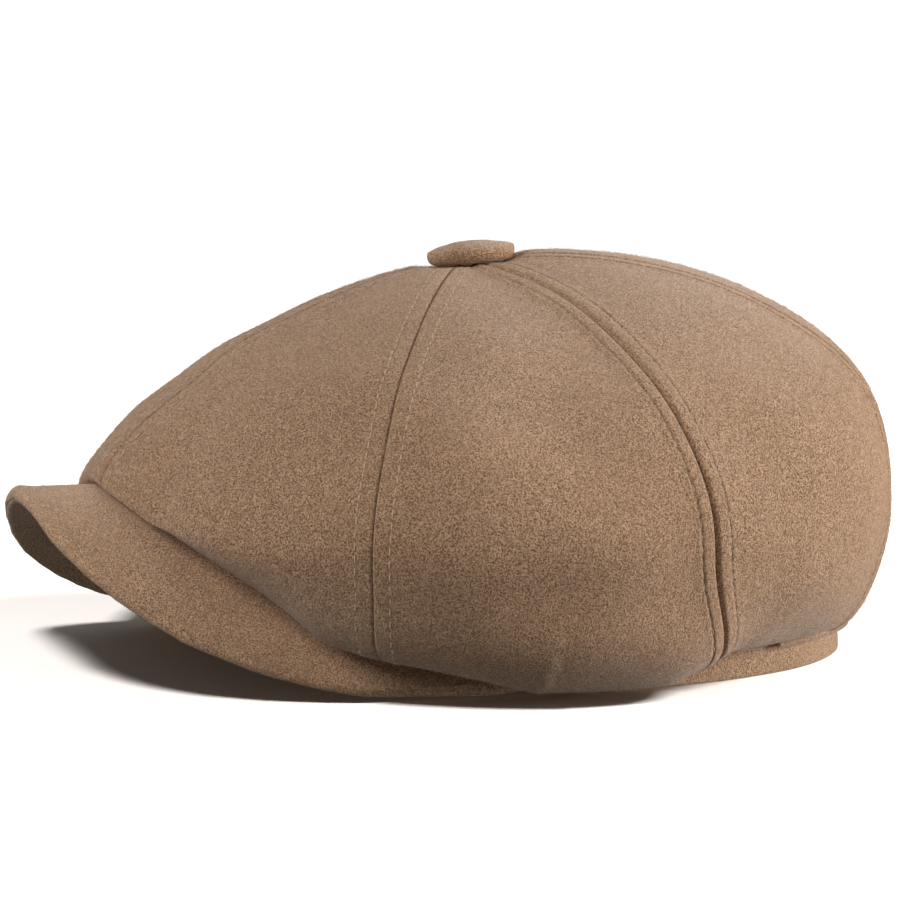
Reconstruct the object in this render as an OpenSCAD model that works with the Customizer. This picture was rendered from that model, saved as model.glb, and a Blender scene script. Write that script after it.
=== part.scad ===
// Newsboy cap: eight wool crown gores on a narrow band, a covered top button, a cloth-covered visor,
// a gored lining, a stiffened band and a sweatband. The cap stands on its band, the visor towards -Y.
// The origin is the centre of the head opening, on the plane that the cap rests on.

/* [Head opening and band] */
// Half width of the band's outer face
band_half_w = 83; // [78:1:88]
// Half length of the band's outer face
band_half_l = 101; // [96:1:106]
// Height of the band
band_h = 28; // [24:1:32]

/* [Crown] */
// Height of the crown under the button
crown_h = 124.5; // [115:0.5:130]
// How far the crown's axis stands in front of the opening's centre
axis_forward = 22; // [18:1:26]
// Reach of the crown from its axis, to the front
reach_front = 120.5; // [118:0.5:126]
// Reach of the crown from its axis, to each side
reach_side = 127; // [122:1:130]
// Reach of the crown from its axis, to the back
reach_back = 136.5; // [134:0.5:142]
// Gap between neighbouring gores at a seam
seam_gap = 0.5; // [0.4:0.1:0.8]
// Angle by which the crown is turned on its band
crown_twist = -2; // [-3:1:3]

/* [Visor] */
// Distance from the opening's centre to the visor's tip
visor_reach = 165.5; // [155:0.5:170]
// Half width of the visor
visor_half_w = 85; // [84:1:87]
// Height of the visor's arch above the surface at its middle
visor_rise = 52; // [46:1:53]
// Sideways turn of the visor, as the soft cap lies
visor_swing = 4; // [0:1:5]
// Share by which the visor's left half lies higher than the right
visor_lean = 0.2; // [0:0.02:0.22]

/* [Cloth and board] */
// Thickness of the wool
wool_t = 1.6; // [1.4:0.1:1.8]
// Thickness of the lining
lining_t = 0.8; // [0.6:0.1:1]
// Thickness of the visor board
board_t = 1.2; // [1:0.1:1.4]

/* [Button] */
// Diameter of the covered button
button_d = 27; // [24:1:30]
// Height of the covered button
button_h = 7; // [6:0.5:8]
// Backward tilt of the button, which follows the crown
button_tilt = 6; // [4:1:8]
// How far the button sits behind the crown's axis
button_back_set = 3; // [0:0.5:4]

/* [Hidden] */

WOOL = [0.63, 0.52, 0.42];
LINING = [0.30, 0.24, 0.20];
BAND_CLOTH = [0.20, 0.17, 0.15];
BOARD = [0.85, 0.85, 0.82];
METAL = [0.70, 0.70, 0.72];
THREAD = [0.72, 0.62, 0.50];
LABEL = [0.90, 0.88, 0.84];

// Plan angles of the seams on one side, from the front; the other side mirrors them
seam_angles = [17, 68, 114, 158.5];
seams = [for (i = [0 : 3]) crown_twist - seam_angles[3 - i],
         for (i = [0 : 3]) crown_twist + seam_angles[i]];
plan_power_front = 2.1;        // squareness of the crown's plan, front half
plan_power_back = 2;
button_seat = crown_h - 0.6;    // height of the button's underside
seat_gap = 0.4;                // between the button and the crown
seat_blend = 7;
apex_u = 0.03;                 // the gores start here, which leaves a hole for the button's thread
hem_gap = 0.5;                 // between the crown's hem and the band
hem_bend_r = 3;                // radius at which the hem turns up along the band
hem_t = 1.2;                   // the wool is pressed thinner in the hem
visor_gap = 0.8;               // between the crown's fold and the visor
rest_blend = 1.5;              // softness of the arch where it meets the resting plane
arch_power = 2.05;             // roundness of the arch on the visor's left half
arch_power_low = 1.88;         // and on the right half, which hangs lower
visor_power = 3.1;             // squareness of the visor's outline
visor_end = 80;                // plan angle at which the visor ends
visor_taper = 10;              // over this angle the visor narrows to its end
layer_gap = 0.15;              // between the layers of the band and of the visor
board_inset = 3;
visor_t = 2 * wool_t + board_t + 2 * layer_gap;
interlining_t = 0.8;
sweatband_t = 1;
lining_inset = 5;              // between the crown's outer face and the lining
d = 0.01;                      // step of the numeric slopes

crown_cols = 6;
top_u = 0.105;                 // just outside the button's blend
crown_rows = [for (i = [0 : 1]) lerp(apex_u, top_u, i / 2), for (i = [0 : 9]) lerp(top_u, 1, i / 9),
              for (i = [1 : 5]) 1 + i / 5,
              2.5, 3, 3.25, 3.5, 4];
lining_cols = 5;
lining_rows = [for (i = [0 : 1]) lerp(apex_u, top_u, i / 2), for (i = [0 : 8]) lerp(top_u, 1, i / 8),
               for (i = [1 : 4]) 1 + i / 4];
band_steps = 72;
visor_cols = 28;
visor_rows = 6;

function side_mix(p, front, side, back) =
    side + ((cos(p) > 0 ? front : back) - side) * pow(cos(p), 2);
function soft_max(a, b, k) = (a + b + sqrt(pow(a - b, 2) + k * k)) / 2;
function ramp(a, b, x) = let (t = max(0, min(1, (x - a) / (b - a)))) t * t * (3 - 2 * t);
function lerp(a, b, t) = a + (b - a) * t;
function bezier(a, b, c, e, t) =
    a * pow(1 - t, 3) + b * 3 * t * pow(1 - t, 2) + c * 3 * t * t * (1 - t) + e * pow(t, 3);
function super_radius(p, w, l, n) =
    pow(pow(max(abs(sin(p)), d * d) / w, n) + pow(max(abs(cos(p)), d * d) / l, n), -1 / n);

// Distance in plan from the point (0, oy) to the band's outer face, in the direction p from the front
function band_r(p, oy) = let (
    a = pow(sin(p) / band_half_w, 2) + pow(cos(p) / band_half_l, 2),
    b = -2 * oy * cos(p) / pow(band_half_l, 2),
    c = pow(oy / band_half_l, 2) - 1)
    (-b + sqrt(b * b - 4 * a * c)) / (2 * a);

// The arch of the visor's underside, which is also the band's lower edge at the front
function arch(x, y) = let (
    xs = x * cos(visor_swing) + y * sin(visor_swing),
    ys = y * cos(visor_swing) - x * sin(visor_swing),
    side = xs / band_half_w,
    power = side > 0 ? arch_power : arch_power_low,
    z = visor_rise * (1 - pow(abs(side), power)) * (1 + visor_lean * side))
    soft_max(z, 0, rest_blend) * ramp(0, -20, ys);
function arch_normal(x, y) = let (
    v = [arch(x - d, y) - arch(x + d, y), arch(x, y - d) - arch(x, y + d), 2 * d]) v / norm(v);
function visor_top(x, y) = arch(x, y)
    + visor_t / arch_normal(x, y)[2] * ramp(-2, -14, y) * ramp(94, 88, abs(x));

// The crown's widest ring and its lower fold, both about the crown's axis
function crown_reach(p) = super_radius(p, reach_side, cos(p) > 0 ? reach_front : reach_back,
    cos(p) > 0 ? plan_power_front : plan_power_back);
function at_axis(p, r, z) = [r * sin(p), -axis_forward - r * cos(p), z];
function fold_r(p) = cos(p) > 0
    ? crown_reach(p) * (0.77 - 0.007 * pow(sin(2 * p), 2) + 0.212 * pow(cos(p), 4))
    : band_r(p, -axis_forward) + 3 + 11.5 * ramp(0.85, 0.2, -cos(p));
function fold_z(p) = let (v = at_axis(p, fold_r(p), 0),
    free = 2.8 + (cos(p) > 0 ? 27 * cos(p) : 7.5 * ramp(0.33, 0.57, -cos(p))))
    soft_max(free, visor_top(v[0], v[1]) + visor_gap, 1);
function crown_wide_z(p) = soft_max(side_mix(p, 52.6, 40, 53.4), fold_z(p) + 2.2, 1.5);

// Upper part of a crown profile: u runs from 0 at the axis to 1 at the widest ring
function upper_rz(p, u) = let (
    reach = crown_reach(p),
    wide_z = crown_wide_z(p),
    m = side_mix(p, 1.43, 1.74, 2.66),
    rise = side_mix(p, 0.067, -0.08, 0.21),
    q = sin(90 * u))
    [reach * q,
     wide_z + (crown_h - wide_z) * pow(max(0, 1 - pow(q, m)), 1 / m) + rise * reach * q * pow(1 - q, 2)];

// Lower part: to the fold at u = 2, in along the visor to 3, up round the bend, and to the hem at 4
function lower_rz(p, u) = let (
    wide = upper_rz(p, 1),
    fold = [fold_r(p), fold_z(p)],
    hem_r = band_r(p, -axis_forward) + hem_gap,
    hem = at_axis(p, hem_r, 0),
    bend = [hem_r + hem_bend_r, max(fold[1], visor_top(hem[0], hem[1]) + visor_gap)],
    drop = side_mix(p, 0.5, 0.55, 0.66) * (wide[1] - fold[1]),
    run = side_mix(p, 0.3, 0.6, 0.12) * (wide[0] - fold[0]))
    u < 2 ? bezier(wide, wide - [0, drop], fold + [run, 0], fold, u - 1)
    : u < 3 ? lerp(fold, bend, u - 2)
    : u < 3.5 ? bend + hem_bend_r * [-sin(180 * (u - 3)), 1 - cos(180 * (u - 3))]
    : lerp(bend + hem_bend_r * [-1, 1], [hem_r, arch(hem[0], hem[1]) + band_h], 2 * u - 7);

// The crown is pressed down to the button's seat, which blends away within seat_blend round the button
function pressed(v) = let (
    ahead = v[1] + axis_forward - button_back_set,
    seat = button_seat - seat_gap + ahead * tan(button_tilt),
    near = 1 - ramp(button_d / 2, button_d / 2 + seat_blend, norm([v[0], ahead])))
    [v[0], v[1], v[2] - soft_max(v[2] - seat, 0, seat_gap) * near];
function crown_point(p, u) = let (rz = u < 1 ? upper_rz(p, u) : lower_rz(p, u))
    pressed(at_axis(p, rz[0], rz[1]));
function crown_inward(p, u) = let (v = cross(
    crown_point(p + d, u) - crown_point(p - d, u),
    crown_point(p, u + d) - crown_point(p, u - d))) v / norm(v);
function crown_inset(p, u, t) = crown_point(p, u) + crown_inward(p, u) * t;

// Lining: it follows the crown to u = 1 and turns in to the top of the band at u = 2
function lining_end(p) = side_mix(p, 0.5, 1, 1) * 0.98;
function lining_outer(p, u) = let (
    last = lining_end(p),
    a = crown_inset(p, last, lining_inset),
    back = crown_inset(p, last - d, lining_inset),
    dir = (a - back) / norm(a - back),
    rim = at_axis(p, band_r(p, -axis_forward) - 0.5, 0),
    e = [rim[0], rim[1], arch(rim[0], rim[1]) + band_h + 1.5],
    out = [sin(p), -cos(p), 0],
    span = norm(a - e))
    u < 1 ? crown_inset(p, u * last, lining_inset)
    : bezier(a, a + dir * span * 0.35, e + out * span * 0.35, e, u - 1);
function lining_point(p, u, t) = let (
    a = lining_outer(p, u),
    v = cross(lining_outer(p + d, u) - lining_outer(p - d, u),
        lining_outer(p, min(u + d, 2)) - lining_outer(p, u - d)))
    a + v / norm(v) * t;

// A closed solid between two grids of points that have the same rows and columns
module sheet_solid(outer, inner) {
    rows = len(outer);
    cols = len(outer[0]);
    n = rows * cols;
    function at(i, j) = i * cols + j;
    skin = [for (i = [0 : rows - 2], j = [0 : cols - 2])
        each [[at(i, j), at(i + 1, j), at(i + 1, j + 1)], [at(i, j), at(i + 1, j + 1), at(i, j + 1)]]];
    edge = concat(
        [for (j = [0 : cols - 1]) at(0, j)],
        [for (i = [1 : rows - 1]) at(i, cols - 1)],
        [for (j = [cols - 2 : -1 : 0]) at(rows - 1, j)],
        [for (i = [rows - 2 : -1 : 1]) at(i, 0)]);
    rim = [for (k = [0 : len(edge) - 1]) let (a = edge[k], b = edge[(k + 1) % len(edge)])
        each [[a, b, b + n], [a, b + n, a + n]]];
    polyhedron(
        points = concat([for (r = outer) each r], [for (r = inner) each r]),
        faces = concat(
            [for (f = skin) [f[2], f[1], f[0]]],
            [for (f = skin) [f[0] + n, f[1] + n, f[2] + n]],
            [for (f = rim) [f[2], f[1], f[0]]]),
        convexity = 6);
}

// Seam k bounds gore k - 1 and gore k; the last gore closes the ring at the back
function gore_angle(k, w, r, gap) = let (
    a = seams[k],
    b = k < 7 ? seams[k + 1] : seams[0] + 360,
    cut = asin(gap / 2 / r))
    lerp(a + cut, b - cut, w);
function crown_plan_r(p, u) = norm(crown_point(p, u) - at_axis(p, 0, crown_point(p, u)[2]));

module crown_gore(k) {
    mid = gore_angle(k, 0.5, 100, 0);
    t = [for (u = crown_rows) u < 1.5 ? wool_t : hem_t];
    angles = [for (u = crown_rows) [for (j = [0 : crown_cols])
        gore_angle(k, j / crown_cols, crown_plan_r(mid, u), seam_gap)]];
    rows = [0 : len(crown_rows) - 1];
    color(WOOL)
    sheet_solid(
        [for (i = rows) [for (p = angles[i]) crown_point(p, crown_rows[i])]],
        [for (i = rows) [for (p = angles[i]) crown_inset(p, crown_rows[i], t[i])]]);
}

module lining_gore(k) {
    mid = gore_angle(k, 0.5, 100, 0);
    angles = [for (u = lining_rows) [for (j = [0 : lining_cols])
        gore_angle(k, j / lining_cols, crown_plan_r(mid, min(u, 1)) * 0.9, seam_gap)]];
    rows = [0 : len(lining_rows) - 1];
    color(LINING)
    sheet_solid(
        [for (i = rows) [for (p = angles[i]) lining_point(p, lining_rows[i], 0)]],
        [for (i = rows) [for (p = angles[i]) lining_point(p, lining_rows[i], lining_t)]]);
}

// A strip along the band from plan angle a to b, inset from its outer face, between two heights
module band_strip(a, b, steps, inset, t, low, high) {
    ring = b - a >= 360;
    angles = [for (i = [0 : ring ? steps - 1 : steps]) lerp(a, b, i / steps)];
    function at(p, depth, h) = let (
        r = band_r(p, 0),
        x = r * sin(p),
        y = -r * cos(p),
        n = [x / pow(band_half_w, 2), y / pow(band_half_l, 2)],
        m = n / norm(n))
        [x - m[0] * depth, y - m[1] * depth, arch(x, y) + h];
    quads = [for (p = angles) [at(p, inset, low), at(p, inset, high),
        at(p, inset + t, high), at(p, inset + t, low)]];
    count = len(quads);
    loops = [for (i = [0 : ring ? count - 1 : count - 2], j = [0 : 3]) let (
        e = (i + 1) % count,
        f = (j + 1) % 4)
        each [[4 * i + j, 4 * i + f, 4 * e + f], [4 * i + j, 4 * e + f, 4 * e + j]]];
    caps = ring ? [] : [[0, 3, 2], [0, 2, 1],
        [4 * count - 4, 4 * count - 3, 4 * count - 2], [4 * count - 4, 4 * count - 2, 4 * count - 1]];
    polyhedron(points = [for (q = quads) each q], faces = concat(loops, caps), convexity = 6);
}

module outer_band() {
    color(WOOL) band_strip(0, 360, band_steps, 0, wool_t, 0, band_h);
}

module band_interlining() {
    color(BOARD) band_strip(0, 360, band_steps, wool_t + layer_gap, interlining_t, 1, band_h - 1);
}

module sweatband() {
    color(BAND_CLOTH)
    band_strip(0, 360, band_steps, wool_t + interlining_t + 2 * layer_gap, sweatband_t, 1.5, band_h - 0.5);
}

module size_label() {
    inset = wool_t + interlining_t + sweatband_t + 3 * layer_gap;
    step = 360 / band_steps;
    color(LABEL) band_strip(180 - 2 * step, 180 + 2 * step, 4, inset, 0.3, 6, 22);
}

// One layer of the visor, between two heights above its underside, drawn in from its outer edge
module visor_layer(low, high, inset) {
    function plan(p, w) = let (
        inner = band_r(p, 0) + 0.3,
        taper = max(0, min(1, (visor_end + 4 - abs(p)) / visor_taper)),
        outline = super_radius(p - visor_swing, visor_half_w, visor_reach, visor_power),
        outer = inner + max((outline - inner) * taper - inset, 0.6),
        r = lerp(inner, outer, w))
        [r * sin(p), -r * cos(p)];
    function at(p, w, h) = let (v = plan(p, w)) [v[0], v[1], arch(v[0], v[1])] + arch_normal(v[0], v[1]) * h;
    angles = [for (j = [0 : visor_cols]) lerp(-visor_end, visor_end, j / visor_cols)];
    rows = [0 : visor_rows];
    sheet_solid(
        [for (i = rows) [for (p = angles) at(p, i / visor_rows, high)]],
        [for (i = rows) [for (p = angles) at(p, i / visor_rows, low)]]);
}

module visor_under_cover() {
    color(WOOL) visor_layer(0, wool_t, 0);
}

module visor_board() {
    color(BOARD) visor_layer(wool_t + layer_gap, wool_t + layer_gap + board_t, board_inset);
}

module visor_top_cover() {
    color(WOOL) visor_layer(wool_t + 2 * layer_gap + board_t, visor_t, 0);
}

// Thread bars that tie the crown's front fold down to the visor
module visor_tack() {
    bar_h = visor_gap / 2;
    lift = 0.12;
    color(THREAD)
    for (p = [-14, 0, 14])
        let (v = at_axis(p, fold_r(p) - 1.5, 0))
        translate([v[0], v[1], visor_top(v[0], v[1]) + lift]) cylinder(r = 0.4, h = bar_h, $fn = 24);
}

module on_button_seat() {
    translate([0, button_back_set - axis_forward, button_seat]) rotate([button_tilt, 0, 0]) children();
}

// Round outline of the button at a distance inside its cloth face: a flat underside and a low dome
module button_outline(inset, base) {
    r = button_d / 2 - inset;
    top = button_h - inset;
    round_r = 2.6 - inset * 0.6;
    intersection() {
        hull() {
            translate([r - round_r, base + round_r]) circle(round_r, $fn = 48);
            translate([0, base]) square([r - round_r, 1]);
            translate([0, top - 1]) square([3, 1]);
            translate([r - round_r - 1, top - round_r - 1]) circle(round_r, $fn = 48);
        }
        translate([0, base]) square([r, top - base]);
    }
}

module button_cover() {
    color(WOOL)
    on_button_seat()
    rotate_extrude($fn = 96)
    difference() {
        button_outline(0, 0);
        button_outline(wool_t, wool_t);
        translate([0, -1]) square([6, wool_t + 2]);
    }
}

module button_shell() {
    color(METAL)
    on_button_seat()
    rotate_extrude($fn = 96)
    difference() {
        button_outline(wool_t + layer_gap, wool_t + layer_gap);
        button_outline(wool_t + 0.5, wool_t - 0.5);
    }
}

module button_back() {
    plate_r = button_d / 2 - wool_t - 1.8;
    eye_r = 1.4;
    color(METAL)
    on_button_seat()
    rotate_extrude($fn = 96)
    difference() {
        union() {
            translate([0, wool_t + 0.1]) square([plate_r, 0.6]);
            translate([0, 0.2]) square([eye_r + 1.4, wool_t + 0.2]);
        }
        translate([0, -1]) square([eye_r, 6]);
    }
}

// The thread runs from the button's eye through the hole at the crown's apex to a knot below it
module button_thread() {
    color(THREAD)
    on_button_seat() {
        translate([0, 0, -8.5]) cylinder(r = 1.2, h = 10.7, $fn = 32);
        translate([0, 0, -10]) cylinder(r = 3, h = 1.5, $fn = 32);
    }
}

crown_gore(3);  // crown_panel_front
crown_gore(4);  // crown_panel_front_left
crown_gore(5);  // crown_panel_side_left
crown_gore(6);  // crown_panel_back_left
crown_gore(7);  // crown_panel_back
crown_gore(0);  // crown_panel_back_right
crown_gore(1);  // crown_panel_side_right
crown_gore(2);  // crown_panel_front_right
lining_gore(3);  // lining_panel_front
lining_gore(4);  // lining_panel_front_left
lining_gore(5);  // lining_panel_side_left
lining_gore(6);  // lining_panel_back_left
lining_gore(7);  // lining_panel_back
lining_gore(0);  // lining_panel_back_right
lining_gore(1);  // lining_panel_side_right
lining_gore(2);  // lining_panel_front_right
outer_band();
band_interlining();
sweatband();
size_label();
visor_top_cover();
visor_board();
visor_under_cover();
visor_tack();
button_cover();
button_shell();
button_back();
button_thread();
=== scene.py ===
"""Looks of a newsboy cap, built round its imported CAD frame.

Shapes are worked out in millimetres by the same rules as the CAD model, and written to the scene in metres.
Plan angles are degrees about the crown's axis, 0 at the front and growing towards +X.
"""
import math
import bpy
import numpy as np
from mathutils import Matrix, Vector


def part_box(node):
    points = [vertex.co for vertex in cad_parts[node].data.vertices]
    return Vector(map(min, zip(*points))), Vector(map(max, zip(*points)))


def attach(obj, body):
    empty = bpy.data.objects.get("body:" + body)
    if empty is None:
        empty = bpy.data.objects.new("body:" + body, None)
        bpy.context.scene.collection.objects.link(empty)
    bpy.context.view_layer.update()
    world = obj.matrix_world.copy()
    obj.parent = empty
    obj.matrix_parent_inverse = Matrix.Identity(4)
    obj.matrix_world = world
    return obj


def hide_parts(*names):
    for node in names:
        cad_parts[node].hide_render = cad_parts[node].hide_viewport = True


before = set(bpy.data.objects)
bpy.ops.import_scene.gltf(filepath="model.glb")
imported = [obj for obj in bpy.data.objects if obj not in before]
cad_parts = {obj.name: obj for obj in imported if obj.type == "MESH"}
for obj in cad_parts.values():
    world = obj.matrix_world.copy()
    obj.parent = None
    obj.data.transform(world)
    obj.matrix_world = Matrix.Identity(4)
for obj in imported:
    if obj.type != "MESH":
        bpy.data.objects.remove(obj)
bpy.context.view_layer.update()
MM = 0.001
BODY = "root"


def box_mm(node):
    low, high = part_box(node)
    return np.array(low) / MM, np.array(high) / MM


# ---------------------------------------------------------------- driving sizes, mm and degrees
band_half_w, band_half_l = box_mm("outer_band")[1][:2]
band_h = 28
axis_forward = 22                                # of the crown's axis, from the opening's centre
crown_h = 124.5                                  # under the button
reach_front = 120.5                              # of the crown, from its axis
reach_side = box_mm("crown_panel_side_left")[1][0]
reach_back = 136.5
crown_twist = -2                                 # turn of the crown on its band
visor_reach = -box_mm("visor_top_cover")[0][1]
visor_half_w = 85
visor_rise = 52                                  # height of the visor's arch at its middle
visor_swing = 4                                  # sideways turn of the visor
visor_lean = 0.2                                 # share by which its left half lies higher than the right
visor_t = 4.7                                    # the board, its two cloths and the gaps between them
wool_t = 1.6
lining_t = 0.8
button_d = 27
button_h = 7
button_tilt = 6
button_back_set = 3                              # how far the button sits behind the crown's axis
button_seat = crown_h - 0.6                      # height of the button's underside

PLACES = ["back_right", "side_right", "front_right", "front", "front_left", "side_left", "back_left", "back"]
seam_angles = [17, 68, 114, 158.5]
seams = [crown_twist - a for a in reversed(seam_angles)] + [crown_twist + a for a in seam_angles]
plan_power_front = 2.1                           # squareness of the crown's plan, front half
plan_power_back = 2
apex_u = 0.03                                    # the gores start here, under the button
seat_gap = 0.4                                   # between the button and the crown
seat_blend = 7                                   # how far round the button the crown is pressed down
hem_gap = 0.5                                    # between the crown's hem and the band
hem_bend_r = 3                                   # radius at which the hem turns up along the band
visor_gap = 0.8                                  # between the crown's fold and the visor
rest_blend = 1.5                                 # softness of the arch where it meets the floor
arch_power = 2.05                                # roundness of the arch on the visor's left half
arch_power_low = 1.88                            # and on the right half, which hangs lower
visor_power = 3.1                                # squareness of the visor's outline
visor_end = 80                                   # plan angle at which the visor ends
lining_inset = 5                                 # between the crown's outer face and the lining
slope_step = 0.01                                # step of the numeric slopes
# How many degrees a seam drifts below the widest ring, by its number
seam_bend = {5: -1.0, 6: 8.0, 1: -8.0, 2: 1.0}
# How much a seam puckers the cloth beside it, by its number
seam_strength = [1, 1, 0.25, 0.4, 0.4, 0.25, 1, 1]


# ---------------------------------------------------------------- shape rules
def sind(a):
    return np.sin(np.radians(a))


def cosd(a):
    return np.cos(np.radians(a))


def vec(x, y, z):
    """Points from their coordinates, each a number or a grid."""
    return np.stack(np.broadcast_arrays(x, y, z), axis=-1).astype(float)


def unit(v):
    return v / np.maximum(np.linalg.norm(v, axis=-1, keepdims=True), 1e-9)


def ramp(a, b, x):
    """0 to 1 as x goes from a to b, with soft ends."""
    t = np.clip((x - a) / (b - a), 0, 1)
    return t * t * (3 - 2 * t)


def bell(x, centre, width):
    return np.exp(-((x - centre) / width) ** 2)


def soft_max(a, b, k):
    """The larger of two values, rounded off over about k where they meet."""
    return (a + b + np.sqrt((a - b) ** 2 + k * k)) / 2


def side_mix(p, front, side, back):
    """A value that changes with the plan angle, by what it is at the front, the sides and the back."""
    return side + (np.where(cosd(p) > 0, front, back) - side) * cosd(p) ** 2


def bezier(a, b, c, e, t):
    return a * (1 - t) ** 3 + b * (3 * t * (1 - t) ** 2) + c * (3 * t * t * (1 - t)) + e * t ** 3


def super_radius(p, w, l, n):
    """Radius of a superellipse with half axes w and l and squareness n."""
    across = np.maximum(np.abs(sind(p)), 1e-4) / w
    along = np.maximum(np.abs(cosd(p)), 1e-4) / l
    return (across ** n + along ** n) ** (-1 / n)


def band_r(p, oy):
    """Distance in plan from the point (0, oy) to the band's outer face."""
    a = (sind(p) / band_half_w) ** 2 + (cosd(p) / band_half_l) ** 2
    b = -2 * oy * cosd(p) / band_half_l ** 2
    c = (oy / band_half_l) ** 2 - 1
    return (-b + np.sqrt(b * b - 4 * a * c)) / (2 * a)


def arch(x, y):
    """Height of the visor's underside, which is also the band's lower edge at the front."""
    xs = x * cosd(visor_swing) + y * sind(visor_swing)
    ys = y * cosd(visor_swing) - x * sind(visor_swing)
    side = xs / band_half_w
    power = np.where(side > 0, arch_power, arch_power_low)
    z = visor_rise * (1 - np.abs(side) ** power) * (1 + visor_lean * side)
    return soft_max(z, 0, rest_blend) * ramp(0, -20, ys)


def arch_normal(x, y):
    d = slope_step
    return unit(vec(arch(x - d, y) - arch(x + d, y), arch(x, y - d) - arch(x, y + d), 2 * d))


def visor_top(x, y):
    thick = visor_t / arch_normal(x, y)[..., 2] * ramp(-2, -14, y) * ramp(94, 88, np.abs(x))
    return arch(x, y) + thick


def crown_reach(p):
    """Radius of the crown's widest ring."""
    ahead = super_radius(p, reach_side, reach_front, plan_power_front)
    behind = super_radius(p, reach_side, reach_back, plan_power_back)
    return np.where(cosd(p) > 0, ahead, behind)


def at_axis(p, r, z):
    """A point at a plan angle and a radius about the crown's axis."""
    return vec(r * sind(p), -axis_forward - r * cosd(p), z)


def fold_r(p):
    """Radius of the crown's lower fold."""
    ahead = crown_reach(p) * (0.77 - 0.007 * sind(2 * p) ** 2 + 0.212 * cosd(p) ** 4)
    return np.where(cosd(p) > 0, ahead, band_r(p, -axis_forward) + 3 + 11.5 * ramp(0.85, 0.2, -cosd(p)))


def fold_z(p):
    """Height of the crown's lower fold, which lies on the visor at the front."""
    v = at_axis(p, fold_r(p), 0)
    free = 2.8 + np.where(cosd(p) > 0, 27 * cosd(p), 7.5 * ramp(0.33, 0.57, -cosd(p)))
    return soft_max(free, visor_top(v[..., 0], v[..., 1]) + visor_gap, 1)


def upper_rz(p, u):
    """Radius and height of the crown's upper part: u is 0 at the axis and 1 at the widest ring."""
    reach = crown_reach(p)
    wide_z = soft_max(side_mix(p, 52.6, 40, 53.4), fold_z(p) + 2.2, 1.5)
    m = side_mix(p, 1.43, 1.74, 2.66)
    rise = side_mix(p, 0.067, -0.08, 0.21)
    q = sind(90 * np.clip(u, 0, 1))
    dome = np.maximum(1 - q ** m, 0) ** (1 / m)
    return reach * q, wide_z + (crown_h - wide_z) * dome + rise * reach * q * (1 - q) ** 2


def lower_rz(p, u):
    """The lower part: to the fold at u = 2, in along the visor to 3, up round the bend, to the hem at 4."""
    wide_r, wide_z = upper_rz(p, 1)
    fr, fz = fold_r(p), fold_z(p)
    hem_r = band_r(p, -axis_forward) + hem_gap
    hem = at_axis(p, hem_r, 0)
    bend_r = hem_r + hem_bend_r
    bend_z = np.maximum(fz, visor_top(hem[..., 0], hem[..., 1]) + visor_gap)
    drop = side_mix(p, 0.5, 0.55, 0.66) * (wide_z - fz)
    run = side_mix(p, 0.3, 0.6, 0.12) * (wide_r - fr)
    t = np.clip(u - 1, 0, 1)
    r = bezier(wide_r, wide_r, fr + run, fr, t)
    z = bezier(wide_z, wide_z - drop, fz, fz, t)
    t = np.clip(u - 2, 0, 1)
    r = np.where(u > 2, fr + (bend_r - fr) * t, r)
    z = np.where(u > 2, fz + (bend_z - fz) * t, z)
    turn = 180 * np.clip(u - 3, 0, 0.5)
    r = np.where(u > 3, bend_r - hem_bend_r * sind(turn), r)
    z = np.where(u > 3, bend_z + hem_bend_r * (1 - cosd(turn)), z)
    t = np.clip(2 * u - 7, 0, 1)
    r = np.where(u > 3.5, hem_r, r)
    top = arch(hem[..., 0], hem[..., 1]) + band_h
    z = np.where(u > 3.5, bend_z + hem_bend_r + (top - bend_z - hem_bend_r) * t, z)
    return r, z


def crown_point(p, u):
    """A point of the crown's outer face, which is pressed down under the button."""
    p, u = np.broadcast_arrays(np.asarray(p, float), np.asarray(u, float))
    ur, uz = upper_rz(p, u)
    lr, lz = lower_rz(p, u)
    point = at_axis(p, np.where(u < 1, ur, lr), np.where(u < 1, uz, lz))
    ahead = point[..., 1] + axis_forward - button_back_set
    seat = button_seat - seat_gap + ahead * np.tan(np.radians(button_tilt))
    near = 1 - ramp(button_d / 2, button_d / 2 + seat_blend, np.hypot(point[..., 0], ahead))
    point[..., 2] -= soft_max(point[..., 2] - seat, 0, seat_gap) * near
    return point


def crown_out(p, u):
    """Outward normal of the crown."""
    d = 2 * slope_step
    across = crown_point(p + d, u) - crown_point(p - d, u)
    along = crown_point(p, u + d) - crown_point(p, u - d)
    return -unit(np.cross(across, along))


# ---------------------------------------------------------------- meshes
def new_piece(name, points, faces, material):
    """A smooth mesh object from points in millimetres."""
    mesh = bpy.data.meshes.new(name)
    mesh.from_pydata(np.asarray(points) * MM, [], faces)
    mesh.validate()
    mesh.shade_smooth()
    mesh.materials.append(material)
    piece = bpy.data.objects.new(name, mesh)
    bpy.context.scene.collection.objects.link(piece)
    return piece


def grid_faces(rows, cols, start=0, closed=False):
    """Quads between the points of a grid whose first point has the number start."""
    i, j = np.meshgrid(np.arange(rows - 1), np.arange(cols if closed else cols - 1), indexing="ij")
    k = (j + 1) % cols
    at = lambda a, b: start + a * cols + b
    return np.stack([at(i, j), at(i, k), at(i + 1, k), at(i + 1, j)], axis=-1).reshape(-1, 4)


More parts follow.
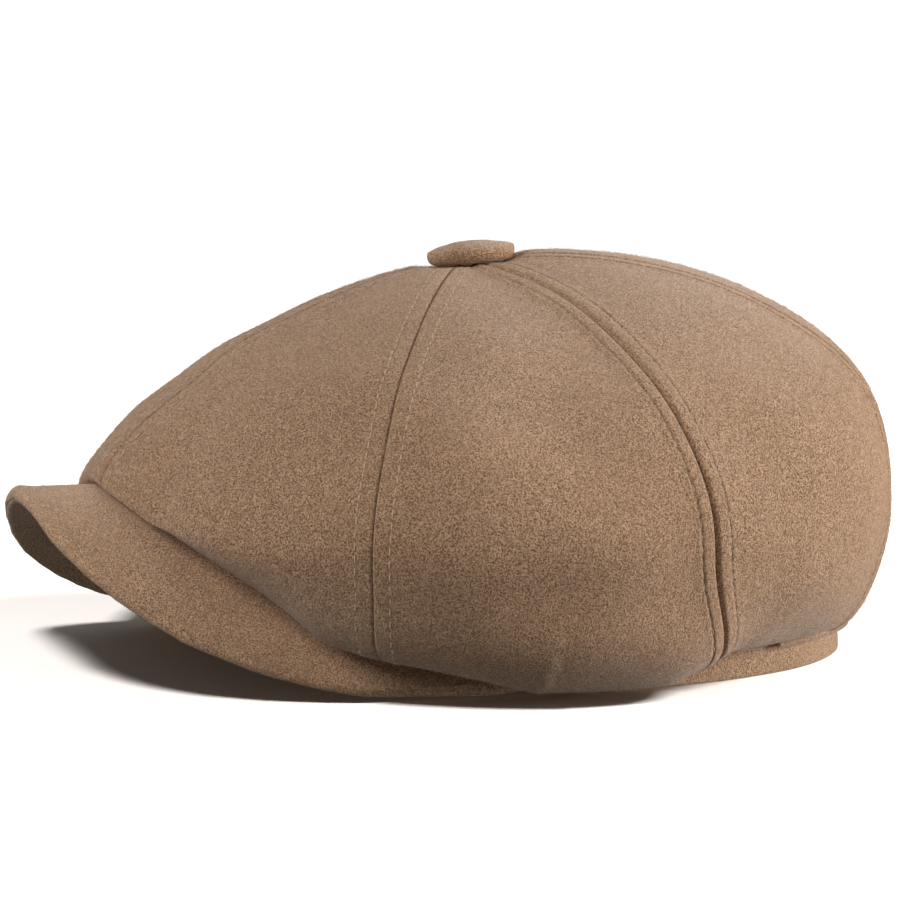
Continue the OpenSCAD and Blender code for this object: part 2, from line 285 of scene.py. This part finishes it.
def shell(outer, inner, ring=False):
    """Points and faces of a closed shell between two grids; a ring closes along its columns."""
    rows, cols = outer.shape[:2]
    n = rows * cols
    skin = grid_faces(rows, cols, closed=ring)
    edge = []
    span = cols if ring else cols - 1
    for a, b in ((0, 1), (rows - 1, -1)):
        for j in range(span):
            k = (j + 1) % cols
            quad = [a * cols + j, a * cols + k, a * cols + k + n, a * cols + j + n]
            edge.append(quad[::-1] if b == 1 else quad)
    if not ring:
        for a, b in ((0, 1), (cols - 1, -1)):
            for i in range(rows - 1):
                quad = [i * cols + a, (i + 1) * cols + a, (i + 1) * cols + a + n, i * cols + a + n]
                edge.append(quad if b == 1 else quad[::-1])
    points = np.concatenate([outer.reshape(-1, 3), inner.reshape(-1, 3)])
    faces = np.concatenate([skin, skin[:, ::-1] + n, np.array(edge)])
    return points, faces


def arc_lengths(line):
    """Distance along a line of points, from its start to each point."""
    return np.concatenate([[0], np.cumsum(np.linalg.norm(np.diff(line, axis=0), axis=1))])


def waves(points, length, seed):
    """A smooth random field over points in millimetres, about -1 to 1, with that wavelength."""
    draw = np.random.default_rng(seed)
    total = 0
    for _ in range(9):
        way = unit(draw.normal(size=3))
        step = 2 * np.pi / (length * draw.uniform(0.7, 1.5))
        total = total + np.sin(points @ way * step + draw.uniform(0, 2 * np.pi))
    return total / 3


# ---------------------------------------------------------------- materials
class Nodes:
    """Short names for building a procedural material."""

    def __init__(self, name, colour, roughness):
        self.mat = bpy.data.materials.new(name)
        self.mat.use_nodes = True
        self.tree = self.mat.node_tree
        self.shader = self.tree.nodes["Principled BSDF"]
        self.shader.inputs["Base Color"].default_value = (*colour, 1)
        self.shader.inputs["Roughness"].default_value = roughness
        self.place = self.tree.nodes.new("ShaderNodeTexCoord").outputs["Object"]

    def add(self, kind, inputs=None, **settings):
        node = self.tree.nodes.new(kind)
        for key, value in settings.items():
            setattr(node, key, value)
        for key, value in (inputs or {}).items():
            if isinstance(value, bpy.types.NodeSocket):
                self.tree.links.new(value, node.inputs[key])
            else:
                node.inputs[key].default_value = value
        return node

    def set(self, socket, value):
        if isinstance(value, bpy.types.NodeSocket):
            self.tree.links.new(value, self.shader.inputs[socket])
        else:
            self.shader.inputs[socket].default_value = value

    def math(self, operation, a, b=0.5):
        return self.add("ShaderNodeMath", {0: a, 1: b}, operation=operation).outputs[0]

    def noise(self, size_mm, detail=2.0, distortion=0.0, roughness=0.5, place=None):
        inputs = {"Vector": place or self.place, "Scale": 1 / (size_mm * MM), "Detail": detail,
                  "Distortion": distortion, "Roughness": roughness}
        return self.add("ShaderNodeTexNoise", inputs).outputs["Fac"]

    def spots(self, size_mm, near, far):
        """1 inside sparse spots, one to each cell of that size, and 0 away from them."""
        cells = self.add("ShaderNodeTexVoronoi", {"Vector": self.place, "Scale": 1 / (size_mm * MM)})
        return self.steps(cells.outputs["Distance"], near, far, 1, 0)

    def steps(self, value, low, high, out_low=0.0, out_high=1.0):
        inputs = {"Value": value, "From Min": low, "From Max": high, "To Min": out_low, "To Max": out_high}
        return self.add("ShaderNodeMapRange", inputs, interpolation_type="SMOOTHSTEP").outputs["Result"]

    def blend(self, share, a, b, how="MIX"):
        colour = lambda c: c if isinstance(c, bpy.types.NodeSocket) else (*c, 1)
        inputs = {0: share, 6: colour(a), 7: colour(b)}
        return self.add("ShaderNodeMix", inputs, data_type="RGBA", blend_type=how).outputs[2]

    def bump(self, height, depth_mm, strength=1.0, under=None):
        inputs = {"Height": height, "Distance": depth_mm * MM, "Strength": strength}
        if under is not None:
            inputs["Normal"] = under
        return self.add("ShaderNodeBump", inputs).outputs["Normal"]


def wool_material(name, base, curl_mm=0.52):
    """Milled wool: short curled fibres, a soft mottle, a few coloured flecks and a pale sheen."""
    tone = lambda r, g, b: (base[0] * r, base[1] * g, base[2] * b)
    m = Nodes(name, base, 0.95)
    curl = m.noise(curl_mm, detail=3, distortion=0.5, roughness=0.65)
    fine = m.noise(curl_mm * 0.55, detail=2, distortion=0.3)
    mottle = m.noise(3.2, detail=2)
    cloud = m.noise(38, detail=2)
    grain = m.math("ADD", m.math("MULTIPLY", curl, 0.6), m.math("MULTIPLY", fine, 0.4))
    colour = m.blend(m.steps(grain, 0.43, 0.57), tone(0.38, 0.32, 0.26), tone(1.68, 1.74, 1.78))
    colour = m.blend(m.steps(mottle, 0.35, 0.65, 0, 0.22), colour, tone(0.72, 0.70, 0.68))
    colour = m.blend(m.steps(cloud, 0.3, 0.7, 0, 0.18), colour, tone(1.15, 1.12, 1.08))
    rust = m.spots(31, 0.018, 0.034)
    straw = m.spots(43, 0.012, 0.026)
    colour = m.blend(m.math("MULTIPLY", rust, 0.7), colour, (0.30, 0.115, 0.022))
    colour = m.blend(m.math("MULTIPLY", straw, 0.6), colour, (0.46, 0.33, 0.10))
    m.set("Base Color", colour)
    m.set("Sheen Weight", 0.36)
    m.set("Sheen Roughness", 0.4)
    m.set("Sheen Tint", (1, 0.96, 0.92, 1))
    m.set("Specular IOR Level", 0.1)
    m.set("Roughness", m.steps(grain, 0.3, 0.7, 0.97, 0.85))
    lumps = m.bump(mottle, 0.5, 0.5)
    m.set("Normal", m.bump(grain, 0.55, 1.0, under=lumps))
    return m.mat


def fibre_material(name, colour, other):
    m = Nodes(name, colour, 0.8)
    m.set("Base Color", m.blend(m.steps(m.noise(2.3), 0.35, 0.65), colour, other))
    m.set("Specular IOR Level", 0.2)
    return m.mat


def thread_material(name, colour):
    m = Nodes(name, colour, 0.7)
    twist = m.noise(0.35, detail=1, distortion=0.5)
    m.set("Base Color", m.blend(m.steps(twist, 0.3, 0.7), tuple(c * 0.8 for c in colour), colour))
    m.set("Normal", m.bump(twist, 0.1, 0.6))
    return m.mat


def woven_material(name, colour, pitch_mm, depth_mm, roughness, sheen=0.1):
    """Plain or twill cloth: two crossed sets of yarns, with a slubby change of tone."""
    m = Nodes(name, colour, roughness)
    waves_at = {"Vector": m.place, "Scale": 1 / (pitch_mm * MM) / 20, "Distortion": 0.6, "Detail": 1.0}
    warp = m.add("ShaderNodeTexWave", waves_at, wave_type="BANDS", bands_direction="DIAGONAL").outputs["Fac"]
    weft = m.add("ShaderNodeTexWave", waves_at, wave_type="BANDS", bands_direction="Z").outputs["Fac"]
    yarn = m.math("MAXIMUM", warp, weft)
    slub = m.noise(4, detail=3)
    dark = tuple(c * 0.72 for c in colour)
    colour_out = m.blend(m.steps(yarn, 0.2, 0.9), dark, colour)
    m.set("Base Color", m.blend(m.steps(slub, 0.3, 0.7, 0, 0.3), colour_out, dark))
    m.set("Sheen Weight", sheen)
    m.set("Normal", m.bump(yarn, depth_mm, 0.7))
    return m.mat


def board_material():
    m = Nodes("visor_board_plastic", (0.72, 0.72, 0.69), 0.5)
    cloud = m.steps(m.noise(6, detail=3), 0.3, 0.7)
    m.set("Base Color", m.blend(cloud, (0.72, 0.72, 0.69), (0.62, 0.62, 0.59)))
    m.set("Normal", m.bump(m.noise(0.8, detail=2), 0.05, 0.4))
    return m.mat


def tin_material():
    m = Nodes("tinned_steel", (0.62, 0.62, 0.62), 0.4)
    m.set("Metallic", 1.0)
    m.set("Roughness", m.steps(m.noise(1.5, detail=4), 0.3, 0.7, 0.3, 0.55))
    tarnish = m.steps(m.noise(4, detail=3), 0.4, 0.7)
    m.set("Base Color", m.blend(tarnish, (0.64, 0.64, 0.63), (0.45, 0.44, 0.42)))
    return m.mat


wool = wool_material("camel_wool", (0.378, 0.234, 0.143))
visor_lit_wool = wool_material("camel_wool_visor_lit", (0.5, 0.313, 0.193), 0.46)  # painted light: a lighter copy of the crown's wool for the cloth stretched over the visor, with a finer grain
nap_fibre = fibre_material("wool_nap", (0.62, 0.47, 0.34), (0.40, 0.27, 0.18))
seam_thread = thread_material("camel_thread", (0.62, 0.48, 0.34))
lining_cloth = woven_material("brown_lining", (0.055, 0.036, 0.026), 0.5, 0.05, 0.38, 0.15)
ribbon_cloth = woven_material("black_ribbon", (0.022, 0.018, 0.016), 0.4, 0.05, 0.6, 0.2)
label_cloth = woven_material("label_weave", (0.62, 0.59, 0.52), 0.35, 0.04, 0.6)
canvas = woven_material("stiff_interlining", (0.66, 0.64, 0.58), 0.9, 0.15, 0.85)
board_plastic = board_material()
tin = tin_material()


# ---------------------------------------------------------------- crown
stitch_t = 5.0                                   # distance of the topstitching from its seam
stitch_pitch = 3.6
stitch_length = 2.6
stitch_r = 0.21
edge_t = [0.05, 0.2, 0.4, 0.65, 0.95, 1.4, 2, 2.8, 3.6, 4.2, 4.6, 4.85, 5.05, 5.3, 5.7, 6.4, 7.4]
middle_cols = 60
crown_rows = np.concatenate([np.linspace(apex_u, 1, 90), np.linspace(1, 2, 60)[1:], np.linspace(2, 3, 12)[1:],
                             np.linspace(3, 3.5, 6)[1:], [4]])


def seam_angle(k, u):
    """Plan angle of seam k, which bounds gores k - 1 and k."""
    angle = seams[k % 8] + 360 * (k // 8)
    return angle + seam_bend.get(k % 8, 0) * ramp(0.9, 2, u)


def gore_grid(k):
    """Plan angles of gore k's mesh, and each column's distance from the nearer seam, at full width."""
    angles, dist = [], []
    strength = np.repeat([seam_strength[k], seam_strength[(k + 1) % 8]], len(edge_t) + middle_cols // 2)
    for u in crown_rows:
        a, b = seam_angle(k, u), seam_angle(k + 1, u)
        fine = np.linspace(a, b, 81)
        line = crown_point(fine, u)
        arc = arc_lengths(line)
        width = arc[-1]
        squeeze = min(1, 0.42 * width / edge_t[-1])
        left = np.array(edge_t) * squeeze
        middle = np.linspace(left[-1], width - left[-1], middle_cols + 2)[1:-1]
        place = np.concatenate([left, middle, (width - left)[::-1]])
        angles.append(np.interp(place, arc, fine))
        near = np.minimum(place, width - place) / squeeze
        dist.append(near)
    return np.array(angles), np.array(dist), strength


def seam_relief(t, strength):
    """Height of the cloth beside a seam: the groove, the puffed allowance and the sunk topstitching."""
    groove = -(0.45 + 0.85 * strength) * np.exp(-(t / (0.2 + 0.2 * strength)) ** 1.2)
    lip = 0.5 * strength * ramp(0, 1.5, t) * (1 - ramp(stitch_t - 1.2, stitch_t + 3, t))
    stitch = -0.42 * strength * bell(t, stitch_t, 0.4)
    return groove + lip + stitch


def drape(points):
    """Slow uneven swell of the soft cloth, away from the button and the tight hem."""
    x, y, z = points[..., 0], points[..., 1], points[..., 2]
    free = ramp(125, 95, z) * ramp(4, 20, z)
    sides = ramp(55, 90, np.abs(x)) * ramp(45, 10, y)
    slump = sides * (1.2 * bell(z, 17, 8) - 1.6 * bell(z, 35, 11))
    return free * (0.8 * waves(points, 85, 3) + 0.5 * waves(points, 42, 5)) + slump


def finish_piece(piece, slot, *nodes):
    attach(piece, BODY)
    if nodes:
        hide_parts(*nodes)
    return piece


def crown_gore(k):
    place = PLACES[k]
    p, t, strength = gore_grid(k)
    u = np.broadcast_to(crown_rows[:, None], p.shape)
    base = crown_point(p, u)
    out = crown_out(p, u)
    soft = drape(base) * ramp(2, 1.75, u)
    outer = base + out * (soft + seam_relief(t, strength))[..., None]
    inner = base + out * (np.minimum(soft, 0.4) - wool_t)[..., None]
    points, faces = shell(outer, inner)
    piece = new_piece(f"crown_gore_{place}", points, faces, wool)
    finish_piece(piece, "wool", f"crown_panel_{place}")
    return outer


gores = [crown_gore(k) for k in range(8)]


# ---------------------------------------------------------------- topstitching
def stitches(name, lines, outs, pitch, length, radius, material, slot, seed):
    """Rows of separate sunk stitches along lines of points, each a short round-ended capsule."""
    draw = np.random.default_rng(seed)
    ring = np.linspace(0, 2 * np.pi, 7)[:-1]
    rows = np.array([-1, -0.8, -0.3, 0.3, 0.8, 1])
    fat = np.array([0.15, 0.7, 1, 1, 0.7, 0.15])
    points, faces = [], []
    count = 0
    for line, out in zip(lines, outs):
        arc = arc_lengths(line)
        middles = np.arange(pitch, arc[-1] - pitch, pitch)
        for mid in middles:
            at = mid + rows * length / 2
            spine = np.stack([np.interp(at, arc, line[:, i]) for i in range(3)], axis=1)
            up = unit(np.array([np.interp(mid, arc, out[:, i]) for i in range(3)]))
            along = unit(spine[-1] - spine[0])
            side = np.cross(along, up)
            sink = (-0.25 * np.abs(rows) ** 2 + draw.normal(0, 0.09))[:, None] * up
            side_step = side * draw.normal(0, 0.06)
            for i in range(len(rows)):
                circle = np.outer(np.cos(ring), side) + np.outer(np.sin(ring), up)
                points.append(spine[i] + sink[i] + side_step + circle * radius * fat[i])
            faces.append(grid_faces(len(rows), 6, start=count, closed=True)[:, ::-1])
            count += 6 * len(rows)
    points = np.concatenate(points)
    faces = np.concatenate(faces).tolist()
    for first in range(0, count, 6 * len(rows)):
        faces.append([first + i for i in range(6)])
        faces.append([first + 6 * len(rows) - 1 - i for i in range(6)])
    return finish_piece(new_piece(name, points, faces, material), slot)


def crown_topstitching(k):
    """The two rows beside seam k."""
    rows_u = crown_rows[crown_rows < 2.05]
    n = len(rows_u)
    lines, outs = [], []
    column = np.abs(np.array(edge_t) - stitch_t).argmin()
    proud = 0.27 - 0.26 * seam_strength[k]
    for outer in (gores[k][:n, column], gores[k - 1][:n, -1 - column]):
        angle = np.degrees(np.arctan2(outer[:, 0], -axis_forward - outer[:, 1]))
        out = crown_out(angle, rows_u)
        keep = np.hypot(outer[:, 0], outer[:, 1] + axis_forward) > button_d / 2 - 1
        lines.append((outer + out * proud)[keep])
        outs.append(out[keep])
    name = f"topstitch_{PLACES[k - 1]}_{PLACES[k]}"
    stitches(name, lines, outs, stitch_pitch, stitch_length, stitch_r, seam_thread, "thread", 40 + k)


for seam in range(8):
    crown_topstitching(seam)


# ---------------------------------------------------------------- visor
rim_r = visor_t / 2
visor_rows = [0, 0.06, 0.15, 0.27, 0.4, 0.53, 0.66, 0.77, 0.86, 0.92, 0.96, 0.985, 1]
rim_turns = np.linspace(0, 115, 10)[1:]


def visor_plan(p):
    inner = band_r(p, 0) + 0.3
    taper = ramp(visor_end + 4, visor_end - 9, np.abs(p))
    outline = super_radius(p - visor_swing, visor_half_w, visor_reach, visor_power)
    return inner, inner + np.maximum((outline - inner) * taper, 1.5)


def visor_place(p, s, h):
    """A point s mm in from the rim and h mm above the underside, at plan angle p about the opening."""
    inner, outer = visor_plan(p)
    r = outer - s
    x, y = r * sind(p), -r * cosd(p)
    return vec(x, y, arch(x, y)) + arch_normal(x, y) * np.asarray(h)[..., None]


def visor_cover(name, node, turns, sign, material):
    """One cloth of the visor, from the band out to the rim and round it by the given turns."""
    p = np.linspace(-visor_end, visor_end, 201)
    inner, outer = visor_plan(p)
    flat = outer - inner - rim_r
    s, h = [], []
    for w in visor_rows:
        s.append(outer - inner - flat * w)
        h.append(np.full(p.shape, visor_t / 2 + sign * rim_r))
    for turn in turns:
        s.append(np.full(p.shape, rim_r * (1 - sind(turn))))
        h.append(np.full(p.shape, visor_t / 2 + sign * rim_r * cosd(turn)))
    s, h = np.array(s), np.array(h)
    grid_p = np.broadcast_to(p, s.shape)
    middle = visor_place(grid_p, np.maximum(s, rim_r), np.full(s.shape, visor_t / 2))
    face = visor_place(grid_p, s, h)
    out = unit(face - middle)
    swell = 0.25 * waves(face, 30, 8) + 0.12 * waves(face, 9, 9)
    face = face + out * swell[..., None]
    back = face - out * wool_t
    points, faces = shell(face, back) if sign > 0 else shell(face[:, ::-1], back[:, ::-1])
    piece = new_piece(name, points, faces[:, ::-1], material)
    finish_piece(piece, "wool", node)
    return face


# painted light: the visor's upper cloth takes the lighter copy of the wool
top_face = visor_cover("visor_upper_cloth", "visor_top_cover", rim_turns, 1, visor_lit_wool)
under_face = visor_cover("visor_lower_cloth", "visor_under_cover", np.linspace(0, 62, 6)[1:], -1, wool)


# ---------------------------------------------------------------- band, sweatband and label
def band_place(p, depth, h):
    """A point at a depth inside the band's outer face and h mm above its lower edge."""
    r = band_r(p, 0)
    x, y = r * sind(p), -r * cosd(p)
    n = unit(np.stack([x / band_half_w ** 2, y / band_half_l ** 2], axis=-1))
    return vec(x - n[..., 0] * depth, y - n[..., 1] * depth, arch(x, y) + h)


def band_ring(name, node, section, steps, material, slot, ribs=None, uneven=0.0, span=(0, 360)):
    """A strip swept round the opening. Its section is a closed loop of (depth, height) pairs."""
    ring = span[1] - span[0] >= 360
    p = np.linspace(*span, steps, endpoint=not ring)
    section = np.array(section, float)
    depth = np.broadcast_to(section[:, 0:1], (len(section), steps)).copy()
    h = np.broadcast_to(section[:, 1:2], (len(section), steps))
    if ribs:
        count, height = ribs
        inner_side = section[:, 0] > section[:, 0].mean()
        depth[inner_side] += height * np.abs(sind(p * count / 2))
    pts = band_place(np.broadcast_to(p, h.shape), depth, h)
    pts[..., 2] = np.maximum(pts[..., 2], 0.02)
    if uneven:
        flat = pts[..., :2] / np.linalg.norm(pts[..., :2], axis=-1, keepdims=True)
        pts[..., :2] += flat * (uneven * waves(pts, 42, 12))[..., None]
    n = len(section)
    faces = (grid_faces(n + 1, steps, closed=ring) % (n * steps)).tolist()
    if not ring:
        faces.append([i * steps for i in range(n)][::-1])
        faces.append([i * steps + steps - 1 for i in range(n)])
    piece = new_piece(name, pts.reshape(-1, 3), faces, material)
    return finish_piece(piece, slot, node)


def rounded_section(depth, low, high, thick, rows=10):
    """Loop of a flat strip with rounded edges, standing at a depth inside the band's face."""
    r = thick / 2
    turn = np.linspace(0, 180, 7)
    bottom = [(depth + r - r * cosd(a), low + r - r * sind(a)) for a in turn]
    top = [(depth + r + r * cosd(a), high - r + r * sind(a)) for a in turn]
    side = np.linspace(low + r, high - r, rows)[1:-1]
    return bottom + [(depth + thick, z) for z in side] + top + [(depth, z) for z in side[::-1]]


interlining_t = 0.8
sweat_in = wool_t + interlining_t + 0.3          # depth of the sweatband's outer face inside the band's
band_cloth = band_ring("band_cloth", "outer_band", rounded_section(0, 0, band_h, wool_t, rows=16), 360,
                       wool, "wool", uneven=0.3)
sweat_section = rounded_section(sweat_in, 1.5, band_h - 0.5, 1)
sweatband = band_ring("sweatband_ribbon", "sweatband", sweat_section, 2160, ribbon_cloth, "sweatband",
                      ribs=(1080, 0.12))
label_section = rounded_section(sweat_in + 1.15, 6, 22, 0.4)
label = band_ring("label_tab", "size_label", label_section, 60, label_cloth, "label", span=(170, 190))


# ---------------------------------------------------------------- button
def button_profile():
    """The covered button's outline, from the gather under it round to the middle of its top."""
    r, edge = button_d / 2 + 0.5, 3.2
    flank = [(6, 0.25), (8.5, 0.05), (r - edge - 0.6, -0.1)]
    bend = [(r - edge + edge * sind(a), edge - edge * cosd(a)) for a in np.linspace(8, 118, 14)]
    rim_at, rim_high = bend[-1]
    top = [(rim_at * q, button_h - (button_h - rim_high) * q ** 2.7) for q in np.linspace(0.93, 0.004, 12)]
    return np.array(flank + bend + top)


def button():
    line = button_profile()
    turn = np.linspace(0, 360, 121)[:-1]
    spin = lambda pairs: vec(pairs[:, :1] * cosd(turn), pairs[:, :1] * sind(turn), pairs[:, 1:])
    r = line[:, :1]
    face = spin(line)
    gather = ramp(4, 0.5, face[..., 2]) * ramp(14, 10, r) * 0.25 * sind(turn * 13 + 20 * sind(turn * 3))
    swell = 0.16 * waves(face, 11, 21) + 0.08 * waves(face, 4, 22)
    along = np.gradient(line, axis=0)
    out = spin(unit(np.stack([along[:, 1], -along[:, 0]], axis=-1)))
    face = face + out * (swell * ramp(0.3, 3, r) + gather)[..., None]
    back = face - out * (wool_t - 0.3)
    back[-1, :, :2] = face[-1, :, :2]
    points, faces = shell(face, back, ring=True)
    tilt = np.array(Matrix.Rotation(math.radians(button_tilt), 3, "X"))
    seat = np.array([0, button_back_set - axis_forward, button_seat])
    points = points @ tilt.T + seat
    piece = new_piece("button_cloth", points, faces[:, ::-1], wool)
    finish_piece(piece, "wool", "button_cover")


button()


# ---------------------------------------------------------------- lining
def lining_outer(p, u):
    """The lining's outer face: along the crown to u = 1, then in to the top of the band at u = 2."""
    last = side_mix(p, 0.5, 1, 1) * 0.98
    inset = lambda q: crown_point(p, q) - crown_out(p, q) * lining_inset
    a = inset(last)
    back = inset(last - slope_step)
    rim = at_axis(p, band_r(p, -axis_forward) - 0.5, 0)
    e = vec(rim[..., 0], rim[..., 1], arch(rim[..., 0], rim[..., 1]) + band_h + 1.5)
    span = np.linalg.norm(a - e, axis=-1, keepdims=True) * 0.35
    b = a + unit(a - back) * span
    c = e + vec(sind(p), -cosd(p), 0) * span
    curve = bezier(a, b, c, e, np.clip(u - 1, 0, 1)[..., None])
    return np.where((u < 1)[..., None], inset(np.minimum(u, 1) * last), curve)


lining_rows = np.concatenate([np.linspace(apex_u, 1, 46), np.linspace(1, 2, 26)[1:]])


def lining_gore(k):
    place = PLACES[k]
    a, b = seam_angle(k, 0), seam_angle(k + 1, 0)
    share = np.linspace(0, 1, 41)
    share = share - 0.1 * np.sin(2 * np.pi * share)
    p = np.broadcast_to(a + 0.15 + (b - a - 0.3) * share, (len(lining_rows), len(share)))
    u = np.broadcast_to(lining_rows[:, None], p.shape)
    base = lining_outer(p, u)
    d = slope_step
    across = lining_outer(p + d, u) - lining_outer(p - d, u)
    along = lining_outer(p, np.minimum(u + d, 2)) - lining_outer(p, u - d)
    inward = unit(np.cross(across, along))
    width = np.linalg.norm(base[:, -1] - base[:, 0], axis=-1)[:, None]
    near = np.minimum(share, 1 - share)[None, :] * width
    seam = 0.9 * np.exp(-near / 0.8)
    fullness = ramp(1.2, 2, u) * 0.5 * sind(p * 15 + 40 * sind(p * 2)) + 0.5 * waves(base, 26, 31)
    inner = base + inward * (lining_t + seam + 0.5 + np.clip(fullness, -0.5, 2))[..., None]
    points, faces = shell(base, inner)
    piece = new_piece(f"lining_gore_{place}", points, faces, lining_cloth)
    finish_piece(piece, "lining", f"lining_panel_{place}")


for k in range(8):
    lining_gore(k)


# ---------------------------------------------------------------- nap
def nap(name, grids, counts, length, seed):
    """Short curled fibres that stand out of the wool, each a thin closed tube rooted in the cloth."""
    draw = np.random.default_rng(seed)
    rings = [0, 0.35, 0.7, 1]
    round_ring = np.radians([0, 120, 240])
    per_fibre = len(rings) * len(round_ring)
    points = []
    for grid, count in zip(grids, counts):
        corner = grid[:-1, :-1].reshape(-1, 3)
        down = (grid[1:, :-1] - grid[:-1, :-1]).reshape(-1, 3)
        across = (grid[:-1, 1:] - grid[:-1, :-1]).reshape(-1, 3)
        normal = np.cross(down, across)
        area = np.linalg.norm(normal, axis=1)
        cell = draw.choice(len(area), count, p=area / area.sum())
        share = draw.random((2, count, 1))
        foot = corner[cell] + down[cell] * share[0] + across[cell] * share[1]
        up = unit(normal[cell])
        first = unit(np.cross(up, draw.normal(size=(count, 3))))
        side = np.cross(first, up)
        long = length * draw.uniform(0.5, 1.25, (count, 1))
        lift = draw.uniform(0.15, 0.5, (count, 1))
        curl = draw.uniform(-0.5, 0.5, (count, 1))
        fat = draw.uniform(0.035, 0.06, (count, 1))
        skin = []
        for q in rings:
            spine = foot - up * 0.2 + first * long * q + up * long * lift * np.sin(2.2 * q)
            spine = spine + side * long * curl * q ** 2
            for a in round_ring:
                skin.append(spine + (side * np.cos(a) + up * np.sin(a)) * fat * (1 - 0.7 * q))
        points.append(np.stack(skin, axis=1).reshape(-1, 3))
    points = np.concatenate(points)
    fibres = np.arange(0, len(points), per_fibre)[:, None, None]
    tube = grid_faces(len(rings), len(round_ring), closed=True)[:, ::-1]
    ends = np.array([[0, 1, 2], [per_fibre - 1, per_fibre - 2, per_fibre - 3]])
    faces = (fibres + tube[None]).reshape(-1, 4).tolist()
    faces += (fibres + ends[None]).reshape(-1, 3).tolist()
    return finish_piece(new_piece(name, points, faces, nap_fibre), "wool")


seen_rows = np.searchsorted(crown_rows, 2.02)    # the rows above the crown's fold
gore_fibres = 9500
for k in range(8):
    nap(f"nap_{PLACES[k]}", [gores[k][:seen_rows]], [gore_fibres], 1.5, 70 + k)
rim_face = top_face[-12:]                        # the visor's rim has a denser nap
nap("nap_visor", [top_face[:, ::-1], rim_face[:, ::-1]], [6500, 3000], 1.6, 80)
nap("nap_visor_under", [under_face], [5000], 1.3, 81)


# ---------------------------------------------------------------- carried-over CAD pieces
for node, material in {"band_interlining": canvas, "visor_board": board_plastic, "visor_tack": seam_thread,
                       "button_shell": tin, "button_back": tin, "button_thread": seam_thread}.items():
    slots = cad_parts[node].data.materials
    slots.clear()
    slots.append(material)


# ---------------------------------------------------------------- stage, light and camera
def look_at(place, target):
    return (Vector(target) - Vector(place)).to_track_quat("-Z", "Y")


camera_data = bpy.data.cameras.new("camera")
camera = bpy.data.objects.new("camera", camera_data)
bpy.context.scene.collection.objects.link(camera)
bpy.context.scene.camera = camera
camera_turn = 14                                 # degrees from the cap's side towards its front
camera_far, camera_high = 900, 150
aim = (0, -26.1, 64.2)
camera.location = Vector((camera_far * cosd(camera_turn), -camera_far * sind(camera_turn), camera_high)) * MM
camera.rotation_mode = "QUATERNION"
camera.rotation_quaternion = look_at(camera.location, Vector(aim) * MM)
camera_data.sensor_width = 36
camera_data.lens = 112.4
camera_data.clip_start = 0.05


def area_light(name, place, target, size, power, colour=(1, 1, 1)):
    data = bpy.data.lights.new(name, "AREA")
    data.shape = "RECTANGLE"
    data.size, data.size_y = size
    data.energy = power
    data.color = colour
    light = bpy.data.objects.new(name, data)
    bpy.context.scene.collection.objects.link(light)
    light.location = place
    light.rotation_mode = "QUATERNION"
    light.rotation_quaternion = look_at(place, target)
    return light


cap_lights = [
    area_light("key_light", (1.15, -0.75, 0.78), (0, -0.02, 0.05), (0.6, 0.6), 2, (1, 0.985, 0.96)),
    area_light("front_light", (0.45, -1.15, 0.9), (0, -0.05, 0.05), (0.6, 0.6), 11.8, (1, 0.99, 0.97)),
    area_light("top_light", (0, -0.05, 1.55), (0, 0, 0.05), (0.8, 0.8), 3, (1, 0.99, 0.97)),
    area_light("back_light", (0.42, 1.5, 0.3), (0, 0.05, 0.06), (0.7, 0.7), 38, (1, 0.99, 0.97)),
    area_light("left_light", (-1.2, -0.1, 0.7), (0, 0, 0.05), (0.8, 0.8), 7, (1, 0.99, 0.97)),
]
floor_lights = [
    area_light("floor_light", (1.14, -0.52, 1.22), (0, -0.02, 0), (0.26, 0.26), 50),
    area_light("floor_fill", (0.5, 1.5, 1.0), (0, 0.1, 0), (0.4, 0.4), 72),
]

world = bpy.data.worlds.new("studio")
bpy.context.scene.world = world
world.use_nodes = True
tree = world.node_tree
back = tree.nodes["Background"]
back.inputs["Color"].default_value = (1, 1, 1, 1)
back.inputs["Strength"].default_value = 0.15
seen = tree.nodes.new("ShaderNodeBackground")
seen.inputs["Color"].default_value = (1, 1, 1, 1)
seen.inputs["Strength"].default_value = 1.05
path = tree.nodes.new("ShaderNodeLightPath")
mix = tree.nodes.new("ShaderNodeMixShader")
tree.links.new(path.outputs["Is Camera Ray"], mix.inputs[0])
tree.links.new(back.outputs[0], mix.inputs[1])
tree.links.new(seen.outputs[0], mix.inputs[2])
tree.links.new(mix.outputs[0], tree.nodes["World Output"].inputs["Surface"])


def floor_material():
    """A pale floor that turns into the white of the backdrop away from the object."""
    m = Nodes("white_floor", (0.84, 0.79, 0.75), 0.9)
    away = m.add("ShaderNodeVectorMath", {0: m.place}, operation="LENGTH").outputs["Value"]
    m.set("Emission Color", (1, 1, 1, 1))
    m.set("Emission Strength", m.steps(away, 0.3, 0.8, 0.0, 1.0))
    return m.mat


reach = 3000
corners = [[-reach, -reach, 0], [reach, -reach, 0], [reach, reach, 0], [-reach, reach, 0]]
floor = new_piece("floor", corners, [[0, 1, 2, 3]], floor_material())
floor.visible_diffuse = False


def link_light(light, state):
    """Light only the floor (INCLUDE), or everything but the floor (EXCLUDE)."""
    group = bpy.data.collections.new(f"{light.name}_{state.lower()}")
    group.objects.link(floor)
    group.collection_objects[0].light_linking.link_state = state
    light.light_linking.receiver_collection = group


for light in cap_lights:
    link_light(light, "EXCLUDE")
for light in floor_lights:                       # the floor is burnt out to white, with one clean shadow
    link_light(light, "INCLUDE")
bpy.context.scene.view_settings.view_transform = "Standard"
